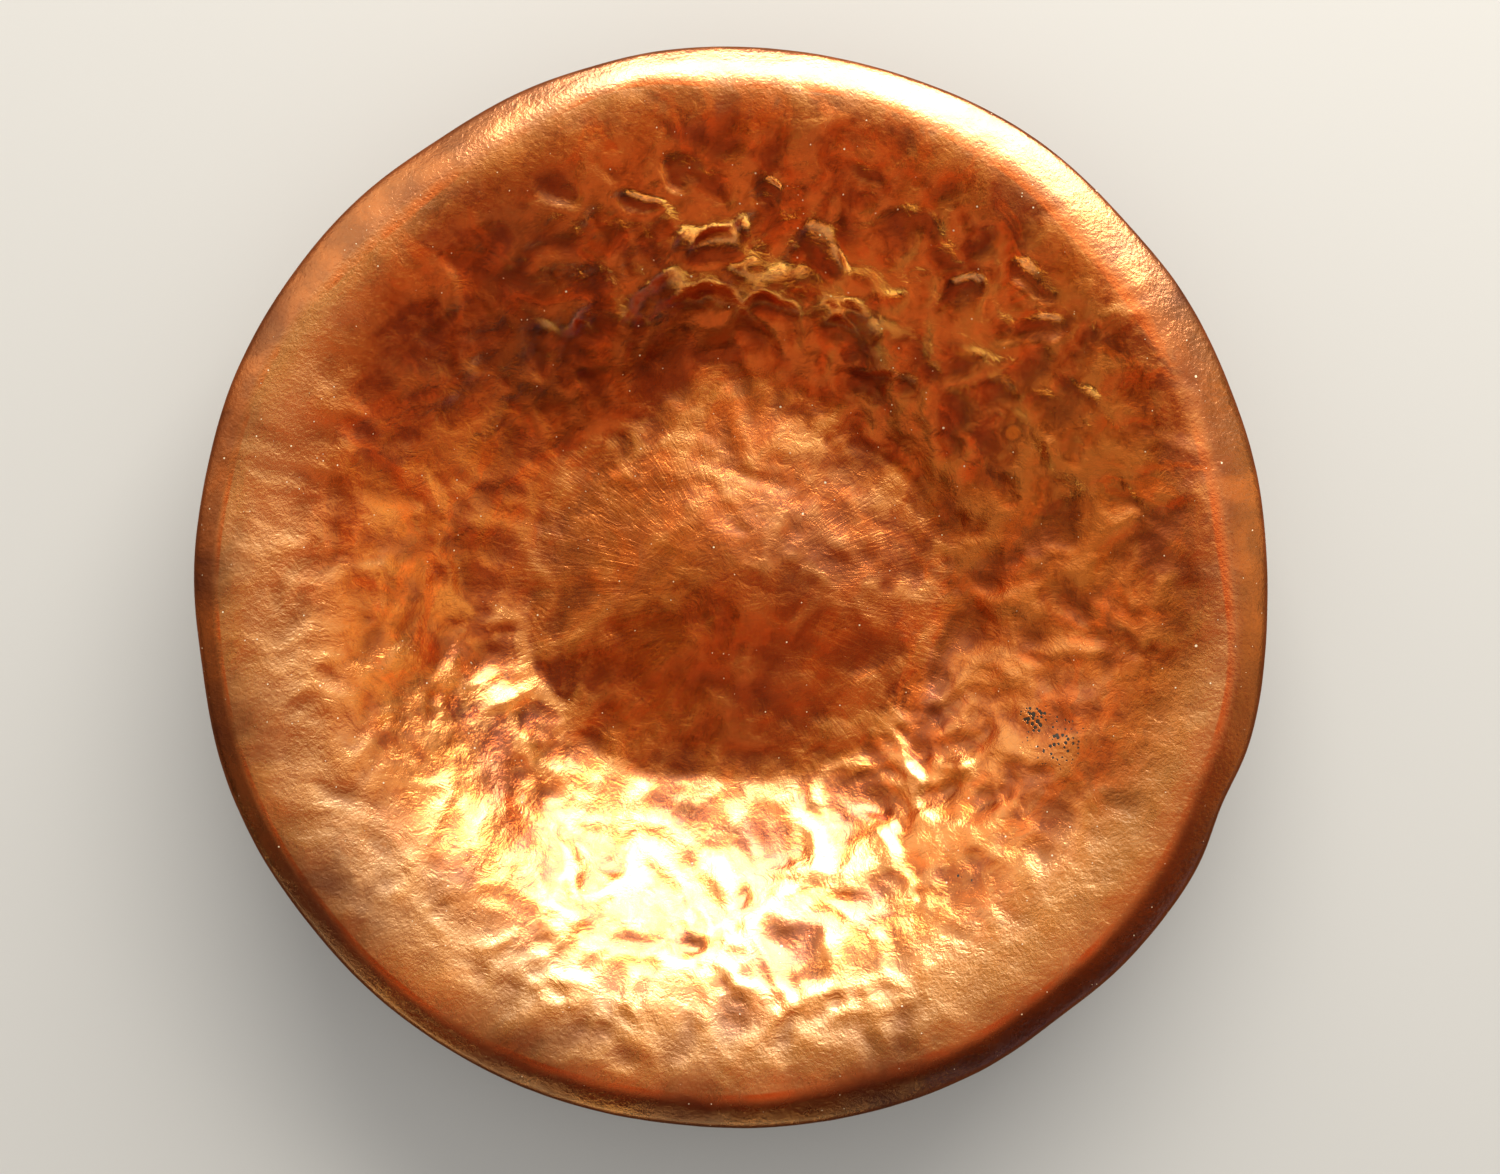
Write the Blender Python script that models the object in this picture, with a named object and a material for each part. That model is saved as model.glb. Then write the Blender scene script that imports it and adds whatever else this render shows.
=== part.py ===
"""A shallow hammered copper bowl, raised from one sheet and stiffened by a wire in its rolled edge.

Frame: metres, +Z up. The origin is on the table, at the centre of the ring the bowl stands on, and the
bowl is round about Z. The solids carry the bowl's true section and leave out its hammer marks.
"""

import math

import bmesh
import bpy

MM = 0.001

# Driving dimensions.
RIM_RADIUS = 150.0 * MM
SHEET = 1.2 * MM
WIRE_RADIUS = 1.75 * MM
WIRE_CLEARANCE = 0.35 * MM
WIRE_BUTT_GAP = 1.5 * MM

# The dish, from its centre out to the crest: each station is a radius and the upward slope there.
# The slope changes evenly between stations, so the section has no corners.
BOSS_STATIONS = ((0.0, 0), (12.0 * MM, -6), (30.0 * MM, -11), (46.0 * MM, -8), (50.0 * MM, 0))
WALL_STATIONS = ((55.0 * MM, 0), (62.0 * MM, 24), (80.0 * MM, 35), (95.0 * MM, 37), (112.0 * MM, 27))
SHOULDER_STATIONS = ((124.0 * MM, 19), (132.0 * MM, 9))

# The edge, from the crest on: a soft bend, a nearly straight skirt, and the roll around the wire.
# Each is an arc, given by its radius, the downward angle it ends at, and the angle of one facet.
ROLL_RADIUS = WIRE_RADIUS + WIRE_CLEARANCE + SHEET
BEND = (12.0 * MM, 25, 9)
SKIRT = (42.0 * MM, 35, 5)
ROLL = (ROLL_RADIUS, 285, 27)

# How finely the other round shapes are cut into facets.
FACETS_AROUND = 64
WIRE_FACETS = 10
DISH_STEP = 7.0 * MM

COPPER = (0.78, 0.33, 0.15, 1.0)
STEEL = (0.45, 0.43, 0.41, 1.0)


def clear_scene():
    """Remove every object the file starts with."""
    for old in list(bpy.data.objects):
        bpy.data.objects.remove(old)


def metal(name, colour, roughness):
    """A metallic Principled material."""
    material = bpy.data.materials.new(name)
    material.use_nodes = True
    shader = material.node_tree.nodes["Principled BSDF"]
    shader.inputs["Base Color"].default_value = colour
    shader.inputs["Metallic"].default_value = 1.0
    shader.inputs["Roughness"].default_value = roughness
    return material


def add_object(name, shape, material):
    """Turn a bmesh into a smooth-shaded object with its faces outwards."""
    bmesh.ops.recalc_face_normals(shape, faces=shape.faces)
    mesh = bpy.data.meshes.new(name)
    shape.to_mesh(mesh)
    shape.free()
    mesh.materials.append(material)
    for polygon in mesh.polygons:
        polygon.use_smooth = True
    thing = bpy.data.objects.new(name, mesh)
    bpy.context.scene.collection.objects.link(thing)
    return thing


def crest_radius():
    """The radius of the crest, which leaves the edge's arcs just inside the rim's radius."""
    reach = 0.0
    start = 0
    for radius, end, _ in (BEND, SKIRT, ROLL):
        widest = min(end, 90)
        reach += radius * (math.sin(math.radians(widest)) - math.sin(math.radians(start)))
        start = end
    return RIM_RADIUS - reach


def dish_section():
    """The upper surface from the centre to the crest, as (radius, height, slope angle) points."""
    stations = BOSS_STATIONS + WALL_STATIONS + SHOULDER_STATIONS + ((crest_radius(), 0),)
    points = [(0.0, 0.0, 0.0)]
    for (start, start_angle), (end, end_angle) in zip(stations, stations[1:]):
        slope = math.tan(math.radians(start_angle))
        change = math.tan(math.radians(end_angle)) - slope
        steps = max(1, round((end - start) / DISH_STEP))
        base = points[-1][1]
        for step in range(1, steps + 1):
            share = step / steps
            rise = (end - start) * (slope * share + change * share**2 / 2)
            angle = math.atan(slope + change * share)
            points.append((start + (end - start) * share, base + rise, angle))
    lowest = min(height for _, height, _ in points)
    return [(radius, height - lowest + SHEET, angle) for radius, height, angle in points]


def point_on_arc(centre, radius, degrees):
    """The (radius, height) of a point on an arc, its angle counted outwards from straight up."""
    angle = math.radians(degrees)
    return (centre[0] + radius * math.sin(angle), centre[1] + radius * math.cos(angle))


def edge_arcs():
    """The edge's arcs in order, each starting where the one before ends and at the same slope."""
    here = dish_section()[-1][:2]
    start = 0
    arcs = []
    for radius, end, step in (BEND, SKIRT, ROLL):
        centre = point_on_arc(here, -radius, start)
        arcs.append((centre, radius, start, end, step))
        here = point_on_arc(centre, radius, end)
        start = end
    return arcs


def arc_points(centre, radius, start, end, step):
    """Points along an arc, with both of its ends."""
    count = max(1, round(abs(end - start) / step))
    return [point_on_arc(centre, radius, start + (end - start) * i / count) for i in range(count + 1)]


def sheet_section():
    """The sheet's closed outline: out along its upper side, and back along its lower side."""
    dish = dish_section()
    arcs = edge_arcs()
    upper = [(radius, height) for radius, height, _ in dish]
    for arc in arcs:
        upper += arc_points(*arc)[1:]
    lower = [point_on_arc(arcs[-1][0], ROLL_RADIUS - SHEET, ROLL[1])]
    for centre, radius, start, end, step in reversed(arcs):
        lower += arc_points(centre, radius - SHEET, end, start, step)[1:]
    for radius, height, angle in reversed(dish[:-1]):
        lower.append((radius + SHEET * math.sin(angle), height - SHEET * math.cos(angle)))
    return upper + lower


def bowl_sheet():
    """Revolve the sheet's outline about Z. Its first and last points lie on the axis."""
    section = sheet_section()
    shape = bmesh.new()
    top = shape.verts.new((0, 0, section[0][1]))
    bottom = shape.verts.new((0, 0, section[-1][1]))
    rings = []
    for radius, z in section[1:-1]:
        turns = [2 * math.pi * i / FACETS_AROUND for i in range(FACETS_AROUND)]
        rings.append([shape.verts.new((radius * math.cos(t), radius * math.sin(t), z)) for t in turns])
    for i in range(FACETS_AROUND):
        following = (i + 1) % FACETS_AROUND
        shape.faces.new((top, rings[0][i], rings[0][following]))
        shape.faces.new((bottom, rings[-1][following], rings[-1][i]))
        for near, far in zip(rings, rings[1:]):
            shape.faces.new((near[i], far[i], far[following], near[following]))
    return add_object("bowl_sheet", shape, metal("copper", COPPER, 0.22))


def rim_wire():
    """The wire inside the rolled edge: a ring whose two ends don't quite meet."""
    radius, height = edge_arcs()[-1][0]
    first = WIRE_BUTT_GAP / radius / 2
    span = 2 * math.pi - 2 * first
    shape = bmesh.new()
    rings = []
    for i in range(FACETS_AROUND + 1):
        turn = first + span * i / FACETS_AROUND
        ring = []
        for j in range(WIRE_FACETS):
            around = 2 * math.pi * j / WIRE_FACETS
            reach = radius + WIRE_RADIUS * math.cos(around)
            z = height + WIRE_RADIUS * math.sin(around)
            ring.append(shape.verts.new((reach * math.cos(turn), reach * math.sin(turn), z)))
        rings.append(ring)
    for near, far in zip(rings, rings[1:]):
        for j in range(WIRE_FACETS):
            following = (j + 1) % WIRE_FACETS
            shape.faces.new((near[j], near[following], far[following], far[j]))
    shape.faces.new(rings[0])
    shape.faces.new(rings[-1])
    return add_object("rim_wire", shape, metal("steel", STEEL, 0.4))


clear_scene()
bowl_sheet()
rim_wire()
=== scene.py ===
"""The looks of a shallow hammered copper bowl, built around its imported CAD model.

The CAD sheet is a smooth body of revolution. Here it is replaced by nearly the same section with the
hammer marks, the dented rim and the uneven crest of the real bowl, as one closed mesh. Lengths in the
shape functions are in millimetres, and they become metres when the mesh is made.
"""

import math

import bpy
import numpy as np
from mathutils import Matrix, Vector


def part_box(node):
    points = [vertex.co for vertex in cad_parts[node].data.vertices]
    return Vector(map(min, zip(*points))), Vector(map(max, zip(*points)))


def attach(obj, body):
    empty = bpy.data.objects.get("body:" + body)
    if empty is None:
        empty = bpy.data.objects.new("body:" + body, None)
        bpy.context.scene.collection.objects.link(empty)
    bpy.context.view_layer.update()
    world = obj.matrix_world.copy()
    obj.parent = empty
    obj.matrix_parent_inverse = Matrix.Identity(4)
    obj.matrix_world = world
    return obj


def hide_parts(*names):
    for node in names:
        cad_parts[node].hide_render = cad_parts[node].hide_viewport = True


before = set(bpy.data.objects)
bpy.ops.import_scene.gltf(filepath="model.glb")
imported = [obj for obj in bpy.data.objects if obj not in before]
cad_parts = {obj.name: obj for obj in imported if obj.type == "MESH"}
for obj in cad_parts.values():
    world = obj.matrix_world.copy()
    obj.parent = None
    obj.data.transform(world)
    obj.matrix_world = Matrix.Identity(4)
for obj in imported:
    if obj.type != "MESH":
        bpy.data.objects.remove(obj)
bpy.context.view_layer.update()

MM = 0.001

# Sizes read from the frame.
_, SHEET_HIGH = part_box("bowl_sheet")
WIRE_LOW, WIRE_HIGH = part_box("rim_wire")
RIM = SHEET_HIGH[0] / MM
HEIGHT = SHEET_HIGH[2] / MM
WIRE = (WIRE_HIGH[2] - WIRE_LOW[2]) / 2 / MM
ROLL_MIDDLE = WIRE_HIGH[0] / MM - WIRE
ROLL_HEIGHT = (WIRE_HIGH[2] + WIRE_LOW[2]) / 2 / MM
ROLL = RIM - ROLL_MIDDLE

# The sheet's section, which is the CAD model's with a slightly sharper shoulder: radius and upward slope in
# degrees from the centre to the crest, and the edge's arcs, each with its radius and the downward angle it
# ends at.
SHEET = 1.2
EDGE = ((12.0, 25), (42.0, 35), (ROLL, 285))
CREST = RIM - sum(
    size * (math.sin(math.radians(min(end, 90))) - math.sin(math.radians(start)))
    for (size, end), (_, start) in zip(EDGE, ((0, 0), *EDGE))
)
STATIONS = (
    (0, 0), (12, -6), (30, -11), (46, -8), (50, 0), (55, 0),
    (62, 24), (80, 34.5), (95, 36), (112, 27), (122, 21.5), (129, 16), (134, 7), (CREST, 0),
)

# How the handmade bowl departs from a round one. Directions are in degrees clockwise from +Y, seen from
# above. A dent has its direction, its width in degrees and its depth; the crest wanders out by a distance
# at each direction; and the rim sags in waves, each with its count around the rim, its turn and its size.
# All around, the crest lies a little lower and the rim a little further in than the CAD model's.
RIM_DENTS = (
    (47, 9, 1.3), (66, 12, 1.4), (90, 16, 2.2), (114, 5, 2.2), (143, 6, 1.0), (186, 14, 0.9),
    (262, 9, 1.8), (280, 10, 0.8), (327, 8, 1.4), (344, 6, 0.6), (12, 12, 0.6), (231, 6, 0.5),
)
CREST_WANDER = (
    (0, -1), (15, 0.4), (30, -2), (50, -4.8), (82, -4.8), (102, 0), (150, 1), (165, -0.5),
    (180, 1.4), (225, 3.8), (255, 4.2), (292, 3.0), (318, -3), (330, -2), (348, 2.2),
)
CREST_DROP = 0.6
RIM_INSET = 0.3
RIM_SAG = ((2, 30, 0.22), (3, 100, 0.16), (5, 0, 0.07), (9, 200, 0.04))

# Dark oxide, by direction and radius, with the size of each stain and its strength; the stains along the
# lip's near side, away from the lamp, are painted shade as well. Then the black pits, by place and size; and
# one small orange spot.
STAINS_AND_SHADE = (
    (232, 148, 24, 1.0), (205, 148, 20, 0.95), (255, 149, 18, 0.95), (163, 147, 18, 1.0), (184, 148, 16, 0.9),
    (272, 149, 14, 0.95), (288, 149, 11, 0.85), (300, 149, 10, 0.6), (146, 149, 14, 0.6), (56.5, 148, 4, 1.0),
    (318, 92, 20, 0.6), (303, 108, 18, 0.5), (330, 116, 18, 0.55), (344, 78, 14, 0.35),
    (100, 140, 14, 0.25), (280, 60, 18, 0.25), (118, 118, 16, 0.35), (172, 40, 26, 0.35), (68, 22, 18, 0.45),
)
PIT_CLUSTERS = (((90, -42), 12.0), ((84, -36), 5.0), ((64, -80.5), 4.0), ((-111.5, -87.5), 3.0))
HEAT_SPOT = ((79, 44), 3.6)

# The hammer: how many ordinary blows, the ranges of their length, of their width as a share of it and of
# their depth, and how far any mark may reach from the true section. A deep blow has its direction, its
# radius, its lean from the radial direction, its length and width, and its depth.
BLOWS = 3400
BLOW_LENGTH = (2.8, 7.2)
BLOW_WIDTH_SHARE = (0.55, 1.0)
BLOW_DEPTH = (0.24, 0.66)
DEEPEST = 1.3
FOLLOWING_BLOWS = 2
DEEP_BLOWS = (
    (354, 118, 80, 8.0, 5.5, 1.4), (357, 97, 90, 9.0, 5.0, 1.3), (14, 99, 70, 8.0, 5.5, 1.4),
    (26, 112, 135, 10.0, 5.0, 1.4), (28, 122, 130, 6.0, 4.0, 1.2), (49, 109, 149, 10.0, 4.5, 1.4),
    (34, 72, 135, 7.5, 3.5, 0.9), (23, 78, 90, 7.0, 4.0, 1.0), (57, 76, 60, 5.0, 3.5, 0.8),
    (4, 110, 20, 6.0, 4.0, 1.2), (38, 104, 110, 6.0, 4.5, 1.2), (345, 109, 80, 6.0, 4.5, 1.2),
    (18, 120, 75, 6.0, 4.5, 1.3), (43, 118, 95, 6.0, 4.0, 1.2), (336, 120, 20, 6.0, 4.0, 1.2),
    (319, 117, 80, 6.0, 4.0, 1.2), (326, 104, 40, 5.0, 3.6, 1.0), (310, 111, 70, 5.0, 3.6, 1.1),
    (331, 82, 80, 5.0, 3.2, 0.8),
    (228, 104, 60, 7.0, 3.5, 0.8), (212, 96, 80, 7.0, 3.5, 0.7), (196, 104, 95, 7.0, 3.0, 0.7),
    (171, 102, 90, 8.0, 3.5, 0.7), (160, 96, 70, 7.0, 3.5, 0.7), (243, 84, 30, 6.0, 3.5, 0.7),
    (135, 84, 80, 6.0, 3.5, 0.7), (205, 84, 70, 6.0, 3.0, 0.6), (184, 88, 85, 6.0, 3.0, 0.6),
    (222, 118, 80, 6.0, 3.0, 0.6), (252, 108, 60, 6.0, 3.0, 0.6), (264, 92, 45, 6.0, 3.0, 0.5),
    (128, 98, 75, 5.5, 2.4, 0.7), (121, 103, 80, 4.5, 2.2, 0.7),
)

# Mesh spacing on the upper side and the lower side; the wire's facets along and around; and half the gap
# between its ends, in degrees.
FINE = 1.15
COARSE = 2.8
WIRE_STEPS = 720
WIRE_SIDES = 14
WIRE_HALF_GAP = 0.3

# What the copper's material reads from the mesh.
COLOUR_FIELDS = ("relief", "stain_and_shade", "lip")

rng = np.random.default_rng(7)


# ---------------------------------------------------------------------------------------------
# Fields over the bowl's plan, from hammer blows and smooth noise
# ---------------------------------------------------------------------------------------------

CELL = 0.5
HALF = 168.0
COUNT = int(2 * HALF / CELL)


def blurred(field, size):
    """A field smoothed by a Gaussian whose standard deviation is size, in mm."""
    frequency = np.fft.fftfreq(COUNT, CELL)
    falloff = np.exp(-2 * (math.pi * frequency * size) ** 2)
    return np.real(np.fft.ifft2(np.fft.fft2(field) * falloff[:, None] * falloff[None, :]))


def smooth_noise(size):
    """Random hills about size mm wide, with a mean of 0 and a standard deviation of 1."""
    hills = blurred(rng.standard_normal((COUNT, COUNT)), size)
    return (hills - hills.mean()) / hills.std()


def plan_axes():
    """The x and y of every cell of a field."""
    line = (np.arange(COUNT) + 0.5) * CELL - HALF
    return np.meshgrid(line, line, indexing="ij")


def sample(field, x, y):
    """A field's value at plan points, interpolated between cells."""
    u = np.clip((x + HALF) / CELL - 0.5, 0, COUNT - 1.001)
    v = np.clip((y + HALF) / CELL - 0.5, 0, COUNT - 1.001)
    i, j = u.astype(int), v.astype(int)
    s, t = u - i, v - j
    return (
        field[i, j] * (1 - s) * (1 - t)
        + field[i + 1, j] * s * (1 - t)
        + field[i, j + 1] * (1 - s) * t
        + field[i + 1, j + 1] * s * t
    )


def strike(surface, x, y, turn, length, width, depth):
    """One hammer blow: an elliptical hollow that cuts the surface down, with a crisp edge."""
    reach = 1.5 * length
    low_i, high_i = int((x - reach + HALF) / CELL), int((x + reach + HALF) / CELL) + 1
    low_j, high_j = int((y - reach + HALF) / CELL), int((y + reach + HALF) / CELL) + 1
    patch = surface[low_i:high_i, low_j:high_j]
    px = (np.arange(low_i, high_i) + 0.5)[:, None] * CELL - HALF - x
    py = (np.arange(low_j, high_j) + 0.5)[None, :] * CELL - HALF - y
    along = px * math.cos(turn) + py * math.sin(turn)
    across = -px * math.sin(turn) + py * math.cos(turn)
    bowl = (along / length) ** 2 + (across / width) ** 2
    level = patch[bowl < 1].mean()
    np.minimum(patch, level + depth * (bowl - 1), out=patch)


def creases(size):
    """Random folds about size mm wide: sharp ridges and sharp valleys that wander between each other."""
    return np.abs(smooth_noise(size)) - np.abs(smooth_noise(size))


def blow_place(blow):
    """The x, y and turn of a deep blow."""
    north, radius, lean = blow[:3]
    turn = math.radians(90 - north)
    return radius * math.cos(turn), radius * math.sin(turn), turn + math.radians(lean)


def hammered():
    """Heights left by the hammer all over the bowl, before they are weighted by place."""
    surface = 0.36 * smooth_noise(4)
    radii = 150 * np.sqrt(rng.random(BLOWS))
    turns = 2 * math.pi * rng.random(BLOWS)
    for radius, turn in zip(radii, turns):
        length = rng.uniform(*BLOW_LENGTH)
        width = length * rng.uniform(*BLOW_WIDTH_SHARE)
        lean = rng.uniform(0, math.pi)
        depth = rng.uniform(*BLOW_DEPTH)
        strike(surface, radius * math.cos(turn), radius * math.sin(turn), lean, length, width, depth)
    for blow in DEEP_BLOWS:
        x, y, turn = blow_place(blow)
        length, width, depth = blow[3:]
        strike(surface, x, y, turn, length, width, depth)
        for _ in range(FOLLOWING_BLOWS):
            near_x, near_y = x + rng.uniform(-length, length), y + rng.uniform(-length, length)
            small = rng.uniform(0.3, 0.6) * length
            strike(surface, near_x, near_y, rng.uniform(0, math.pi), small, 0.7 * small, 0.4 * depth)
    surface += 0.07 * smooth_noise(1.5) + 0.15 * smooth_noise(2.8) + 0.10 * creases(4)
    surface -= blurred(surface, 8)
    return np.clip(blurred(surface, 0.5), -DEEPEST, DEEPEST)


def field_set():
    """The named fields that the bowl's shape and colour are read from."""
    x, y = plan_axes()
    bend_x, bend_y = 1.3 * smooth_noise(5), 1.3 * smooth_noise(5)
    marks = sample(hammered(), x + bend_x, y + bend_y) * np.clip(1 + 0.3 * smooth_noise(20), 0.45, 1.6)
    swell = 0.30 * smooth_noise(9) + 0.5 * smooth_noise(20)
    soft = 1.35 * blurred(marks, 1.5)
    return {"marks": marks, "soft": soft, "swell": swell, "wander": 3.2 * smooth_noise(14)}


# ---------------------------------------------------------------------------------------------
# The bowl's section and outline
# ---------------------------------------------------------------------------------------------


def dish_curve():
    """Radius, height and slope angle of the dish's upper surface, finely sampled from centre to crest."""
    radius = np.linspace(0, CREST, 3000)
    station_radii = [r for r, _ in STATIONS]
    slope = np.interp(radius, station_radii, [math.tan(math.radians(a)) for _, a in STATIONS])
    steps = (slope[1:] + slope[:-1]) / 2 * np.diff(radius)
    height = np.concatenate([[0], np.cumsum(steps)])
    return radius, height - height[-1] + HEIGHT, np.arctan(slope)


def degrees_from_north(x, y):
    """The direction of plan points, in degrees clockwise from +Y."""
    return np.degrees(np.arctan2(x, y)) % 360


def rim_dip(direction):
    """How far the rim's outline lies inside its full radius."""
    dip = np.zeros_like(direction)
    for centre, width, depth in RIM_DENTS:
        away = (direction - centre + 180) % 360 - 180
        dip += depth * np.exp(-((away / width) ** 2))
    return dip + RIM_INSET


def crest_shift(direction):
    """How far the crest lies outside its mean radius."""
    angles = np.array([a for a, _ in CREST_WANDER], float)
    values = np.array([v for _, v in CREST_WANDER])
    angles = np.concatenate([angles - 360, angles, angles + 360])
    values = np.tile(values, 3)
    after = np.searchsorted(angles, direction, side="right")
    share = (direction - angles[after - 1]) / (angles[after] - angles[after - 1])
    share = share * share * (3 - 2 * share)
    return values[after - 1] * (1 - share) + values[after] * share


def fade(value, start, end):
    """0 up to start and 1 from end, with a smooth change between them."""
    share = np.clip((value - start) / (end - start), 0, 1)
    return share * share * (3 - 2 * share)


def rim_sag(direction):
    """How far the rim and the crest lie below the level of their highest point."""
    return sum(size * (1 + np.cos(np.radians(waves * direction + turn))) for waves, turn, size in RIM_SAG)


class Ring:
    """One ring of the mesh: a point of the section with the tilt of its outward side.

    The side is 1 above and -1 below. On the edge, out and fall go from 0 at the crest to 1 at the roll,
    with the point's distance outwards and downwards.
    """

    def __init__(self, radius, height, tilt, spacing, side, out=0.0, fall=0.0):
        self.radius = radius
        self.height = height
        self.tilt = tilt
        self.side = side
        self.out = out
        self.fall = fall
        self.count = max(6, round(2 * math.pi * radius / spacing))


def dish_rings(spacing, side):
    """Rings of the dish's upper side (side 1) or lower side (side -1), from the centre to the crest."""
    radius, height, angle = dish_curve()
    length = np.concatenate([[0], np.cumsum(np.hypot(np.diff(radius), np.diff(height)))])
    marks = np.linspace(0, length[-1], round(length[-1] / spacing) + 1)[1:]
    rings = []
    for mark in marks:
        r, z, a = (np.interp(mark, length, values) for values in (radius, height, angle))
        if side < 0:
            r, z = r + SHEET * math.sin(a), z - SHEET * math.cos(a)
        rings.append(Ring(r, z, -a if side > 0 else math.pi - a, spacing, side))
    return rings


def arc_point(middle, size, angle):
    """The radius and height of a point on an arc, its angle counted outwards from straight up."""
    return middle[0] + size * math.sin(angle), middle[1] + size * math.cos(angle)


def edge_arcs():
    """The edge's arcs as (middle, radius, start angle, end angle), each carrying on from the last."""
    here, start = (CREST, HEIGHT), 0.0
    arcs = []
    for size, end in EDGE:
        end = math.radians(end)
        middle = arc_point(here, -size, start)
        arcs.append((middle, size, start, end))
        here, start = arc_point(middle, size, end), end
    return arcs


def edge_rings(side):
    """Rings along the edge: outwards on its upper side (side 1), or back on its lower side (side -1)."""
    arcs = edge_arcs()
    roll_middle, _, roll_start, _ = arcs[-1]
    roll_radius, roll_height = arc_point(roll_middle, ROLL, roll_start)
    rings = []
    for middle, full_size, start, end in arcs if side > 0 else reversed(arcs):
        rolled = middle == roll_middle
        size = full_size if side > 0 else full_size - SHEET
        spacing = min(FINE, 0.35 * size)
        steps = max(2, round((end - start) * size / spacing))
        for step in range(steps + 1):
            share = step / steps if side > 0 else 1 - step / steps
            if step == 0 and (side > 0 or not rolled):
                continue
            angle = start + (end - start) * share
            r, z = arc_point(middle, size, angle)
            above_r, above_z = arc_point(middle, full_size, angle)
            out = 1.0 if rolled else (above_r - CREST) / (roll_radius - CREST)
            fall = 1.0 if rolled else (HEIGHT - above_z) / (HEIGHT - roll_height)
            rings.append(Ring(r, z, angle if side > 0 else angle + math.pi, FINE, side, out, fall))
    return rings


def all_rings():
    """The whole section in order: the upper side outwards, then the lower side back to the centre."""
    upper = dish_rings(FINE, 1) + edge_rings(1)
    return upper + edge_rings(-1) + dish_rings(COARSE, -1)[-2::-1]


def stain_and_shade_at(x, y, side):
    """How dark the oxide and, on the lip's near side, the painted shade are at plan points, from 0 to 1. The
    lower side was never polished.
    """
    stain_and_shade = np.full_like(x, 0.0 if side > 0 else 0.45)
    for north, radius, size, strength in STAINS_AND_SHADE:
        middle_x = radius * math.sin(math.radians(north))
        middle_y = radius * math.cos(math.radians(north))
        away = np.hypot(x - middle_x, y - middle_y) / size
        stain_and_shade = np.maximum(stain_and_shade, strength * np.exp(-(away**2)))
    return stain_and_shade


def lip_lift(north):
    """How much higher the rolled edge lies where the lip is narrow, so that its slope stays the same."""
    roll_middle, _, roll_start, _ = edge_arcs()[-1]
    roll_radius, roll_height = arc_point(roll_middle, ROLL, roll_start)
    width = roll_radius - CREST
    share = np.clip(1 - (rim_dip(north) + crest_shift(north)) / width, 0.4, 1.0)
    return (1 - share) * (HEIGHT - roll_height)


def hammer_weight(radius):
    """How strongly the hammer marks show: less on the boss and the shoulder, and least at the crest."""
    weight = 1 - 0.58 * fade(radius, 116, 131) - 0.52 * (1 - fade(radius, 34, 56))
    return weight * (1 - 0.6 * fade(radius, CREST - 4, CREST + 3))


def place(ring, fields):
    """A ring's points and turns, and its colour fields: the section about Z, dented and hammered."""
    offset = 0.5 * (ring.count % 2)
    turn = 2 * math.pi * (np.arange(ring.count) + offset) / ring.count
    x, y = ring.radius * np.cos(turn), ring.radius * np.sin(turn)
    north = degrees_from_north(x, y)
    shoulder = fade(ring.radius, 108, CREST) if ring.out == 0 else 1.0
    near_crest = shoulder * (1 - ring.out)
    reach = ring.radius + near_crest * crest_shift(north) - (ring.out + 0.4 * near_crest) * rim_dip(north)
    reach += fade(ring.radius, 30, 52) * (1 - fade(ring.radius, 66, 100)) * sample(fields["wander"], x, y)
    x, y = reach * np.cos(turn), reach * np.sin(turn)
    relief = hammer_weight(ring.radius) * sample(fields["marks" if ring.side > 0 else "soft"], x, y)
    swell = sample(fields["swell"], x, y) * (1 - 0.5 * fade(ring.radius, 116, CREST + 2))
    # The ring that the bowl stands on stays flat below, and calmer above.
    standing = fade(ring.radius, 40, 50) * (1 - fade(ring.radius, 57, 66))
    rise = (relief + swell) * ring.side * (1 - (0.4 if ring.side > 0 else 1.0) * standing)
    rise *= 1 - 0.7 * fade(ring.out, 0.5, 1.0)
    across = np.minimum(reach + rise * math.sin(ring.tilt), RIM)
    height = ring.height + rise * math.cos(ring.tilt) + ring.fall * lip_lift(north)
    height -= shoulder * (rim_sag(north) + CREST_DROP)
    height = np.clip(height, 0, HEIGHT)
    points = np.stack([across * np.cos(turn), across * np.sin(turn), height], axis=1)
    colour_fields = {
        "relief": relief,
        "stain_and_shade": stain_and_shade_at(x, y, ring.side),
        "lip": np.full_like(x, ring.out if ring.side > 0 else 1.0),
    }
    return points, turn, colour_fields


def stitch(first, first_turn, second, second_turn):
    """Triangles between two rings of any counts. first and second are vertex numbers."""
    faces = []
    i = j = 0
    while i < len(first) or j < len(second):
        next_i = first_turn[i + 1] if i + 1 < len(first) else first_turn[0] + 2 * math.pi
        next_j = second_turn[j + 1] if j + 1 < len(second) else second_turn[0] + 2 * math.pi
        a, b = first[i % len(first)], second[j % len(second)]
        if j >= len(second) or (i < len(first) and next_i <= next_j):
            faces.append((a, b, first[(i + 1) % len(first)]))
            i += 1
        else:
            faces.append((a, b, second[(j + 1) % len(second)]))
            j += 1
    return faces


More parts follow.
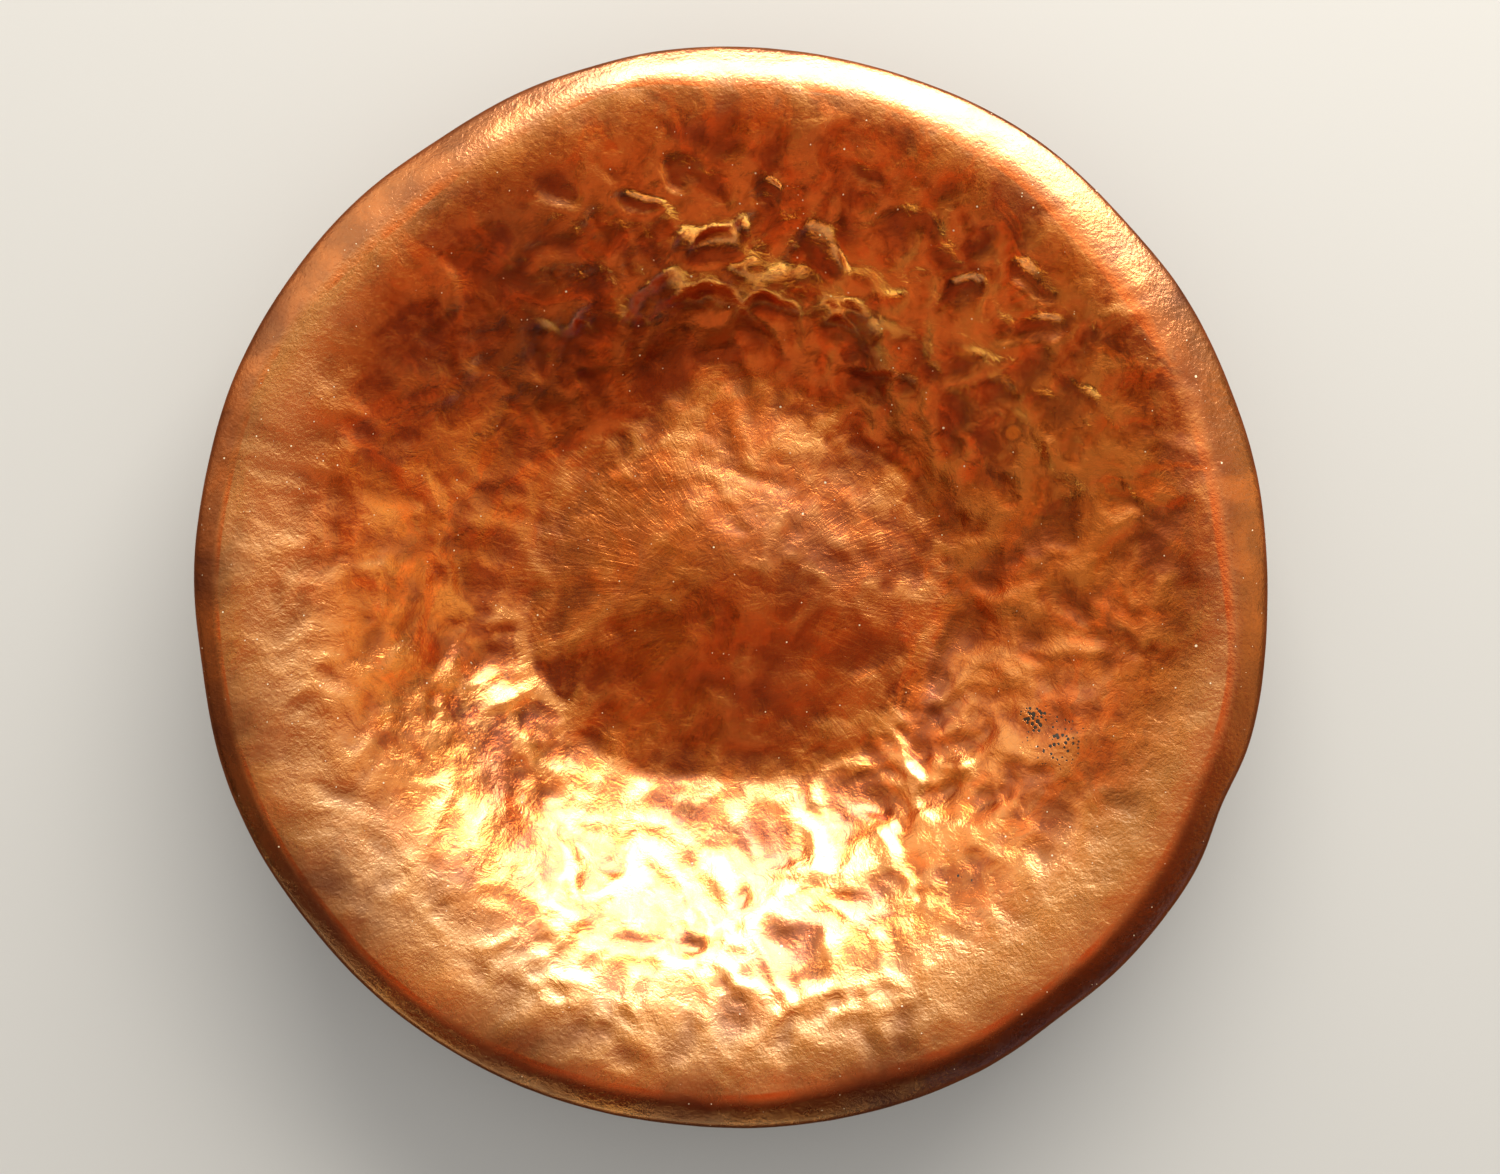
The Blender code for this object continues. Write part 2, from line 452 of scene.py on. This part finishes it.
def build_bowl(fields):
    """The hammered sheet as one closed mesh, with the fields that the material reads at its points."""
    points = [np.zeros((1, 3))]
    kept = {name: [np.zeros(1)] for name in COLOUR_FIELDS}
    faces = []
    total = 1
    before, before_turn = None, None
    for ring in all_rings():
        where, turn, colour_fields = place(ring, fields)
        numbers = list(range(total, total + ring.count))
        if before is None:
            faces += [(0, numbers[k], numbers[(k + 1) % ring.count]) for k in range(ring.count)]
        else:
            faces += stitch(before, before_turn, numbers, turn)
        points.append(where)
        for name, values in colour_fields.items():
            kept[name].append(values)
        total += ring.count
        before, before_turn = numbers, turn
    points[0][0, 2] = points[1][:, 2].mean()
    points.append(np.array([[0, 0, points[-1][:, 2].mean()]]))
    last = len(before)
    faces += [(total, before[(k + 1) % last], before[k]) for k in range(last)]
    mesh = bpy.data.meshes.new("hammered_sheet")
    mesh.from_pydata((np.concatenate(points) * MM).tolist(), [], faces)
    mesh.polygons.foreach_set("use_smooth", [True] * len(mesh.polygons))
    for name, values in kept.items():
        attribute = mesh.attributes.new(name, "FLOAT", "POINT")
        attribute.data.foreach_set("value", np.concatenate([*values, np.zeros(1)]).astype(np.float32))
    mesh.update()
    bowl = bpy.data.objects.new("hammered_sheet", mesh)
    bpy.context.scene.collection.objects.link(bowl)
    return bowl


def build_wire():
    """The wire in the rolled edge, which follows the rim's dents and sags. Its two ends nearly meet."""
    turn = np.radians(np.linspace(WIRE_HALF_GAP, 360 - WIRE_HALF_GAP, WIRE_STEPS))
    middle = edge_arcs()[-1][0]
    north = degrees_from_north(np.cos(turn), np.sin(turn))
    reach = middle[0] - rim_dip(north)
    level = middle[1] - rim_sag(north) - CREST_DROP + lip_lift(north)
    points = []
    for step in range(WIRE_STEPS):
        for side in range(WIRE_SIDES):
            angle = 2 * math.pi * side / WIRE_SIDES
            r = reach[step] + WIRE * math.cos(angle)
            z = level[step] + WIRE * math.sin(angle)
            points.append((r * math.cos(turn[step]) * MM, r * math.sin(turn[step]) * MM, z * MM))
    faces = []
    for step in range(WIRE_STEPS - 1):
        for side in range(WIRE_SIDES):
            after = (side + 1) % WIRE_SIDES
            here, there = step * WIRE_SIDES, (step + 1) * WIRE_SIDES
            faces.append((here + side, there + side, there + after, here + after))
    faces.append(tuple(range(WIRE_SIDES)))
    faces.append(tuple(range((WIRE_STEPS - 1) * WIRE_SIDES, WIRE_STEPS * WIRE_SIDES))[::-1])
    mesh = bpy.data.meshes.new("edge_wire")
    mesh.from_pydata(points, [], faces)
    mesh.polygons.foreach_set("use_smooth", [True] * len(mesh.polygons))
    wire = bpy.data.objects.new("edge_wire", mesh)
    bpy.context.scene.collection.objects.link(wire)
    return wire


# ---------------------------------------------------------------------------------------------
# Materials
# ---------------------------------------------------------------------------------------------

# The copper's colours. The drifting tones go with the height of a noise.
DRIFTING_TONES = (
    (0.34, (0.30, 0.058, 0.010)),
    (0.46, (0.60, 0.155, 0.028)),
    (0.56, (0.80, 0.280, 0.066)),
    (0.70, (0.76, 0.230, 0.046)),
)
PALE_MOTTLE = (0.94, 0.44, 0.15, 1)
DARK_MOTTLE = (0.26, 0.048, 0.009, 1)
PURPLE_CLOUD = (0.48, 0.16, 0.095, 1)
ORANGE_VEIN = (0.98, 0.26, 0.048, 1)
BOSS_TONE = (0.56, 0.145, 0.028, 1)
# A paler satin shoulder. Where it reaches further in on the near side, it is a painted highlight, because the
# shoulder there faces the lamp.
SATIN_AND_LIT_SHOULDER = (1.0, 0.62, 0.33, 1)
# Painted shade for the hammer hollows, and a painted highlight for the raised ridges.
SHADED_HOLLOW = (0.24, 0.042, 0.008, 1)
HIGHLIT_RIDGE = (0.96, 0.46, 0.16, 1)
LIP_TONES = ((0.27, 0.065, 0.026, 1), (0.62, 0.19, 0.060, 1))
# Painted shade for the lip's near side, away from the lamp.
SHADED_NEAR_LIP = (0.15, 0.042, 0.018, 1)
# A painted highlight: the bright orange line of light just past the crest.
CREST_HIGHLIGHT = (0.96, 0.24, 0.05, 1)
# Dark oxide. Where its stains lie on the lip's near side, it is painted shade.
OXIDE_AND_SHADE = (0.12, 0.038, 0.030, 1)
SPOT_RING = (0.20, 0.036, 0.010, 1)
SPOT = (1.0, 0.36, 0.07, 1)
DUST = (1.0, 0.80, 0.52, 1)
PIT = (0.012, 0.010, 0.012, 1)

# The dust, as cells per metre, the largest grain in cells, and the share of cells that have none; and the
# pits' cells per metre.
DUST_GRAINS = ((150, 0.060, 0.70), (330, 0.085, 0.76), (620, 0.11, 0.86))
PIT_CELLS = 700

# The floor's own colour, and the colour that the metal mirrors.
PALE_FLOOR = (0.62, 0.61, 0.59, 1)
MIRRORED_TABLE = (0.24, 0.10, 0.03, 1)


class Tree:
    """Short calls for building a node tree."""

    def __init__(self, node_tree):
        self.nodes = node_tree.nodes
        self.links = node_tree.links
        self.shader = self.nodes.get("Principled BSDF")

    def add(self, kind, inputs=None, **settings):
        """A node with its settings, and its inputs given as values or as sockets to link."""
        node = self.nodes.new(kind)
        for key, value in settings.items():
            setattr(node, key, value)
        for key, value in (inputs or {}).items():
            self.feed(node.inputs[key], value)
        return node

    def feed(self, socket, value):
        """Link an output socket to an input, or set the input's value."""
        if isinstance(value, bpy.types.NodeSocket):
            self.links.new(value, socket)
        else:
            socket.default_value = value

    def noise(self, vector, scale, detail=4.0, roughness=0.55, distortion=0.0):
        """The grey output of a noise texture."""
        settings = {"Vector": vector, "Scale": scale, "Detail": detail}
        settings |= {"Roughness": roughness, "Distortion": distortion}
        return self.add("ShaderNodeTexNoise", settings).outputs["Fac"]

    def ramp(self, value, *stops):
        """A colour ramp with its stops given as (position, colour)."""
        node = self.add("ShaderNodeValToRGB", {"Fac": value})
        elements = node.color_ramp.elements
        while len(elements) < len(stops):
            elements.new(0.5)
        for element, (position, colour) in zip(elements, stops):
            element.position = position
            element.color = (*colour, 1.0) if len(colour) == 3 else colour
        return node.outputs["Color"]

    def span(self, value, low, high, out_low=0.0, out_high=1.0):
        """A value's stretch from low to high, mapped to another range and held at its ends."""
        inputs = {"Value": value, "From Min": low, "From Max": high}
        inputs |= {"To Min": out_low, "To Max": out_high}
        return self.add("ShaderNodeMapRange", inputs, clamp=True).outputs["Result"]

    def math(self, operation, first, second=0.0):
        """A Math node's result."""
        node = self.add("ShaderNodeMath", operation=operation)
        self.feed(node.inputs[0], first)
        self.feed(node.inputs[1], second)
        return node.outputs["Value"]

    def total(self, *values):
        """The sum of several values."""
        result = values[0]
        for value in values[1:]:
            result = self.math("ADD", result, value)
        return result

    def vector(self, operation, first, second=(0.0, 0.0, 0.0), output="Vector"):
        """A Vector Math node's result."""
        node = self.add("ShaderNodeVectorMath", {0: first}, operation=operation)
        self.feed(node.inputs["Scale" if operation == "SCALE" else 1], second)
        return node.outputs[output]

    def mix(self, share, first, second):
        """A mix of two colours."""
        node = self.add("ShaderNodeMix", data_type="RGBA")
        self.feed(node.inputs["Factor"], share)
        self.feed(node.inputs[6], first)
        self.feed(node.inputs[7], second)
        return node.outputs[2]


def new_material(name):
    """An empty Principled material and the Tree that builds it."""
    material = bpy.data.materials.new(name)
    material.use_nodes = True
    return material, Tree(material.node_tree)


def near(t, here, middle, size):
    """1 at a point of the bowl's plan, fading to 0 at a distance of size. Lengths are in millimetres."""
    flat = t.vector("MULTIPLY", here, (1, 1, 0))
    away = t.vector("DISTANCE", flat, (middle[0] * MM, middle[1] * MM, 0), "Value")
    return t.span(away, 0.0, size * MM, 1.0, 0.0)


def copper_tones(t, here, radius):
    """The clean metal: warm tones that drift over the bowl, orange heat tints and a paler satin shoulder,
    widened on the near side by a painted highlight.
    """
    tones = t.ramp(t.noise(here, 22, 6, 0.62, 0.8), *DRIFTING_TONES)
    mottle = t.noise(here, 170, 6, 0.65, 0.5)
    tones = t.mix(t.span(mottle, 0.47, 0.66, 0.0, 0.6), tones, PALE_MOTTLE)
    tones = t.mix(t.span(mottle, 0.48, 0.32, 0.0, 0.6), tones, DARK_MOTTLE)
    clouds = t.noise(here, 28, 6, 0.6, 0.7)
    tones = t.mix(t.span(clouds, 0.55, 0.64, 0.0, 0.55), tones, PURPLE_CLOUD)
    veins = t.math("ABSOLUTE", t.math("SUBTRACT", t.noise(here, 36, 5, 0.60, 0.5), 0.5))
    veins = t.math("MULTIPLY", t.span(veins, 0.05, 0.015), t.span(t.noise(here, 30, 3, 0.5), 0.42, 0.52))
    tones = t.mix(t.math("MULTIPLY", veins, 0.7), tones, ORANGE_VEIN)
    tones = t.mix(t.span(radius, 0.036, 0.056, 0.5, 0.0), tones, BOSS_TONE)
    # Painted highlight: the pale satin band starts further in on the near side, where the shoulder faces the
    # lamp, and further out on the far side.
    far_side = t.vector("DOT_PRODUCT", here, (0.4, 1.0, 0.0), "Value")
    past_start = t.math("SUBTRACT", radius, t.span(far_side, -0.04, 0.09, 0.108, 0.131))
    return t.mix(t.span(past_start, 0.0, 0.014, 0.0, 0.74), tones, SATIN_AND_LIT_SHOULDER)


def oxide_and_shade_share(t, here, stain_and_shade):
    """How much dark oxide and painted shade show: the stains, with ragged gaps."""
    ragged = t.span(t.noise(here, 60, 6, 0.65, 1.0), 0.30, 0.62, 0.45, 1.0)
    return t.math("MULTIPLY", stain_and_shade, ragged)


def dust_mask(t, here):
    """Small grains of dust, scattered at random, in three sizes."""
    masks = []
    for scale, grain, empty in DUST_GRAINS:
        cells = t.add("ShaderNodeTexVoronoi", {"Vector": here, "Scale": scale})
        chance = t.add("ShaderNodeSeparateColor", {"Color": cells.outputs["Color"]})
        size = t.span(chance.outputs["Red"], empty, 1.0, 0.0, grain)
        masks.append(t.math("GREATER_THAN", size, cells.outputs["Distance"]))
    return t.math("MAXIMUM", masks[0], t.math("MAXIMUM", masks[1], masks[2]))


def pit_mask(t, here, inside):
    """Clusters of small black pits inside the bowl."""
    cells = t.add("ShaderNodeTexVoronoi", {"Vector": here, "Scale": PIT_CELLS})
    clusters = t.total(*(near(t, here, middle, size) for middle, size in PIT_CLUSTERS))
    size = t.math("MULTIPLY", t.math("MULTIPLY", clusters, inside), 0.46)
    return t.math("GREATER_THAN", size, cells.outputs["Distance"])


def copper_height(t, here, radius, dust, pits):
    """Relief too fine for the mesh, in millimetres: creases, fine streaks, leathery skin and grit."""
    flat = t.vector("MULTIPLY", here, (1, 1, 0))
    outward = t.vector("SCALE", t.vector("NORMALIZE", flat), 26.0)
    along = t.add("ShaderNodeCombineXYZ", {"Z": t.math("MULTIPLY", radius, 75.0)}).outputs["Vector"]
    streaks = t.noise(t.vector("ADD", outward, along), 1.0, 5, 0.62, 1.3)
    streaked = t.math("MULTIPLY", t.span(radius, 0.016, 0.034), t.span(radius, 0.060, 0.094, 1.0, 0.25))
    streaks = t.math("MULTIPLY", streaks, t.math("MULTIPLY", streaked, 0.17))

    worked = t.span(radius, 0.118, 0.134, 1.0, 0.35)
    folds = t.noise(here, 190, 6, 0.60, 0.9)
    folds = t.math("ABSOLUTE", t.math("SUBTRACT", folds, 0.5))
    folds = t.math("MULTIPLY", folds, t.math("MULTIPLY", worked, -0.42))
    lumps = t.math("MULTIPLY", t.noise(here, 330, 4, 0.60, 0.8), t.math("MULTIPLY", worked, 0.13))

    leather = t.math("MULTIPLY", t.noise(here, 760, 3, 0.55, 0.4), t.span(radius, 0.108, 0.124, 0.022, 0.17))
    grit = t.math("MULTIPLY", t.noise(here, 2600, 2, 0.6), 0.014)
    specks = t.math("MULTIPLY", dust, 0.10)
    holes = t.math("MULTIPLY", pits, -0.25)
    return t.total(streaks, folds, lumps, leather, grit, specks, holes)


def lip_colours(t, here, lip, colour):
    """The turned-down lip: patchy, with painted shade darkest on the near side, away from the lamp, and a
    painted orange highlight line just past the crest.
    """
    patches = t.span(t.noise(here, 70, 5, 0.6, 0.5), 0.40, 0.60)
    colour = t.mix(t.span(lip, 0.03, 0.35, 0.0, 0.7), colour, t.mix(patches, *LIP_TONES))
    # Painted shade: the lip darkens towards the near side, away from the lamp.
    along_y = t.add("ShaderNodeSeparateXYZ", {"Vector": here}).outputs["Y"]
    near_side_shade = t.math("MULTIPLY", t.span(lip, 0.04, 0.40), t.span(along_y, 0.03, -0.07, 0.0, 0.75))
    colour = t.mix(near_side_shade, colour, SHADED_NEAR_LIP)
    # Painted highlight: a thin, broken orange line of reflected light just past the crest.
    crest_highlight = t.math("MULTIPLY", t.span(lip, 0.0, 0.05), t.span(lip, 0.28, 0.10))
    crest_highlight = t.math("MULTIPLY", crest_highlight, t.span(t.noise(here, 34, 4, 0.6), 0.42, 0.56, 0.0, 0.8))
    return t.mix(crest_highlight, colour, CREST_HIGHLIGHT)


def heat_spot(t, here, inside, colour):
    """One small orange spot with a darker ring around it."""
    spot = t.math("MULTIPLY", near(t, here, *HEAT_SPOT), inside)
    colour = t.mix(t.span(spot, 0.0, 0.35, 0.0, 0.35), colour, SPOT_RING)
    return t.mix(t.span(spot, 0.35, 0.60), colour, SPOT)


def copper_material():
    """Hand-worked copper: drifting tones, painted shade in the hammer hollows and painted highlight on the
    ridges, oxide with painted shade on the lip's near side, fine creases, pits and dust.
    """
    material, t = new_material("copper")
    here = t.add("ShaderNodeTexCoord").outputs["Object"]
    radius = t.vector("LENGTH", t.vector("MULTIPLY", here, (1, 1, 0)), output="Value")
    relief, stain_and_shade, lip = (
        t.add("ShaderNodeAttribute", attribute_name=name).outputs["Fac"] for name in COLOUR_FIELDS
    )
    inside = t.math("SUBTRACT", 1.0, lip)
    oxide_and_shade = oxide_and_shade_share(t, here, stain_and_shade)
    dust = dust_mask(t, here)
    pits = pit_mask(t, here, inside)

    colour = copper_tones(t, here, radius)
    # Painted shade where the relief is low and a painted highlight where it is high: the hollows are darker
    # and the ridges lighter.
    colour = t.mix(t.span(relief, -0.50, -0.03, 0.65, 0.0), colour, SHADED_HOLLOW)
    colour = t.mix(t.span(relief, 0.06, 0.34, 0.0, 0.6), colour, HIGHLIT_RIDGE)
    colour = lip_colours(t, here, lip, colour)
    # Oxide, with painted shade where the stains cover the lip's near side.
    colour = t.mix(oxide_and_shade, colour, OXIDE_AND_SHADE)
    colour = heat_spot(t, here, inside, colour)
    colour = t.mix(dust, colour, DUST)
    t.feed(t.shader.inputs["Base Color"], t.mix(pits, colour, PIT))
    t.feed(t.shader.inputs["Metallic"], t.math("SUBTRACT", 1.0, t.math("MAXIMUM", dust, pits)))

    t.feed(t.shader.inputs["Coat Weight"], t.span(lip, 0.0, 0.5, 0.7, 0.25))
    t.shader.inputs["Coat Roughness"].default_value = 0.22
    t.shader.inputs["Coat IOR"].default_value = 1.6

    smeared = t.span(t.noise(here, 50, 6, 0.65, 0.8), 0.32, 0.70, 0.09, 0.21)
    rim = t.span(radius, 0.114, 0.130, 0.0, 0.09)
    dull = t.total(smeared, rim, t.math("MULTIPLY", oxide_and_shade, 0.10), t.math("MULTIPLY", dust, 0.3))
    t.feed(t.shader.inputs["Roughness"], dull)

    height = copper_height(t, here, radius, dust, pits)
    bump = t.add("ShaderNodeBump", {"Height": height, "Strength": 1.0, "Distance": MM})
    t.feed(t.shader.inputs["Normal"], bump.outputs["Normal"])
    return material


def steel_material():
    """Drawn iron wire, dulled and slightly rusty."""
    material, t = new_material("steel")
    here = t.add("ShaderNodeTexCoord").outputs["Object"]
    rust = t.span(t.noise(here, 240, 5, 0.6), 0.5, 0.7)
    t.feed(t.shader.inputs["Base Color"], t.mix(rust, (0.42, 0.40, 0.38, 1), (0.24, 0.11, 0.05, 1)))
    t.feed(t.shader.inputs["Metallic"], t.span(rust, 0.0, 1.0, 1.0, 0.3))
    t.feed(t.shader.inputs["Roughness"], t.span(rust, 0.0, 1.0, 0.34, 0.7))
    bump = t.add("ShaderNodeBump", {"Height": rust, "Strength": 0.3, "Distance": 0.0001})
    t.feed(t.shader.inputs["Normal"], bump.outputs["Normal"])
    return material


def floor_material():
    """A plain pale floor. The metal reflects it as a dim warm table."""
    material, t = new_material("pale_floor")
    glossy = t.add("ShaderNodeLightPath").outputs["Is Glossy Ray"]
    t.feed(t.shader.inputs["Base Color"], t.mix(glossy, PALE_FLOOR, MIRRORED_TABLE))
    t.shader.inputs["Roughness"].default_value = 0.85
    return material


# ---------------------------------------------------------------------------------------------
# Camera, floor and light. Lengths are in metres.
# ---------------------------------------------------------------------------------------------

CAMERA_LENS = 50.0
CAMERA_DISTANCE = 0.575
CAMERA_ASIDE = 0.0044
CAMERA_AHEAD = 0.0003
FLOOR_REACH = 60.0
FLOOR_DROP = 0.0003
WINDOW_NORTH = 12
WINDOW_ELEVATION = 22
WINDOW_DISTANCE = 1.6
WINDOW_WIDTH = 1.85
WINDOW_HEIGHT = 1.05
WINDOW_POWER = 58
WINDOW_COLOUR = (1.0, 0.95, 0.86)

# The room that the metal mirrors. A light part of it has its direction, its elevation, the cosines of the
# angles from its middle where it begins and where it is full, and its colour.
WEST_WALL = (0.44, 0.23, 0.09, 1)
EAST_WALL = (0.56, 0.36, 0.14, 1)
SOUTH_CEILING = (0.34, 0.12, 0.046)
DARK_SOUTH = (0.018, 0.008, 0.004, 1)
ROOM_LIGHTS = (
    (314, 26, 0.87, 0.98, (1.15, 0.90, 0.58, 1)),
    (66, 58, 0.84, 0.99, (0.95, 0.66, 0.36, 1)),
    (12, 23, 0.57, 0.82, (0.95, 0.86, 0.66, 1)),
    (12, 36, 0.84, 0.97, (2.1, 2.1, 1.9, 1)),
)
SILL_LIGHTS = (
    (202, 6, 0.76, 0.90, (5.0, 5.2, 2.6, 1)),
    (137, 6, 0.90, 0.97, (0.75, 0.80, 1.15, 1)),
)
STUDIO = (0.56, 0.55, 0.53, 1)


def add_camera():
    """A camera straight above the bowl, a little to one side of its centre."""
    lens = bpy.data.cameras.new("camera")
    lens.lens = CAMERA_LENS
    lens.sensor_width = 36.0
    lens.clip_start = 0.01
    camera = bpy.data.objects.new("camera", lens)
    camera.location = (CAMERA_ASIDE, CAMERA_AHEAD, ROLL_HEIGHT * MM + CAMERA_DISTANCE)
    bpy.context.scene.collection.objects.link(camera)
    bpy.context.scene.camera = camera


def add_floor():
    """A wide flat floor just under the bowl."""
    mesh = bpy.data.meshes.new("floor")
    corners = [(x * FLOOR_REACH, y * FLOOR_REACH, 0) for x, y in ((-1, -1), (1, -1), (1, 1), (-1, 1))]
    mesh.from_pydata(corners, [], [(0, 1, 2, 3)])
    mesh.materials.append(floor_material())
    floor = bpy.data.objects.new("floor", mesh)
    floor.location = (0, 0, -FLOOR_DROP)
    bpy.context.scene.collection.objects.link(floor)


def direction(north, elevation):
    """A unit vector, from degrees clockwise from +Y and degrees above the floor."""
    flat = math.cos(math.radians(elevation))
    return Vector(
        (
            flat * math.sin(math.radians(north)),
            flat * math.cos(math.radians(north)),
            math.sin(math.radians(elevation)),
        )
    )


def add_window():
    """The soft light: one large rectangle, low beyond the bowl's far side, facing it."""
    lamp = bpy.data.lights.new("window", "AREA")
    lamp.shape = "RECTANGLE"
    lamp.size = WINDOW_WIDTH
    lamp.size_y = WINDOW_HEIGHT
    lamp.energy = WINDOW_POWER
    lamp.color = WINDOW_COLOUR
    light = bpy.data.objects.new("window", lamp)
    towards = direction(WINDOW_NORTH, WINDOW_ELEVATION)
    light.location = towards * WINDOW_DISTANCE
    light.rotation_euler = towards.to_track_quat("Z", "Y").to_euler()
    light.visible_camera = False
    bpy.context.scene.collection.objects.link(light)


def add_world():
    """A pale studio for the floor and the camera, and for the metal a dim warm room with its lit end."""
    world = bpy.data.worlds.new("room")
    bpy.context.scene.world = world
    world.use_nodes = True
    world.cycles.sampling_method = "NONE"
    t = Tree(world.node_tree)
    towards = t.add("ShaderNodeTexCoord").outputs["Generated"]
    up = t.add("ShaderNodeSeparateXYZ", {"Vector": towards}).outputs["Z"]
    clutter = t.span(t.noise(towards, 5, 3, 0.6), 0.40, 0.60, 0.25, 2.1)

    def facing(north, elevation, low, high):
        """How far a direction lies within a round part of the room, from 0 to 1."""
        dot = t.vector("DOT_PRODUCT", towards, tuple(direction(north, elevation)), "Value")
        inputs = {"Value": dot, "From Min": low, "From Max": high}
        return t.add("ShaderNodeMapRange", inputs, interpolation_type="SMOOTHSTEP").outputs["Result"]

    room = t.vector("SCALE", t.mix(facing(90, 20, -0.7, 0.7), WEST_WALL, EAST_WALL), clutter)
    for *part, colour in ROOM_LIGHTS:
        room = t.mix(facing(*part), room, colour)
    room = t.mix(facing(165, 40, 0.54, 0.74), room, t.vector("SCALE", SOUTH_CEILING, clutter))
    low_south = t.math("MULTIPLY", t.span(up, 0.50, 0.26), facing(195, 0, 0.1, 0.55))
    room = t.mix(low_south, room, DARK_SOUTH)
    sill = t.math("MULTIPLY", t.span(up, 0.02, 0.06), t.span(up, 0.17, 0.11))
    for *part, colour in SILL_LIGHTS:
        room = t.mix(t.math("MULTIPLY", sill, facing(*part)), room, colour)
    glossy = t.add("ShaderNodeLightPath").outputs["Is Glossy Ray"]
    background = world.node_tree.nodes["Background"]
    t.feed(background.inputs["Color"], t.mix(glossy, STUDIO, room))


fields = field_set()
bowl = build_bowl(fields)
bowl.data.materials.append(copper_material())
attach(bowl, "root")
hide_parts("bowl_sheet")

wire = build_wire()
wire.data.materials.append(steel_material())
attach(wire, "root")
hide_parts("rim_wire")

add_camera()
add_floor()
add_world()
add_window()

bpy.context.scene.view_settings.view_transform = "Standard"
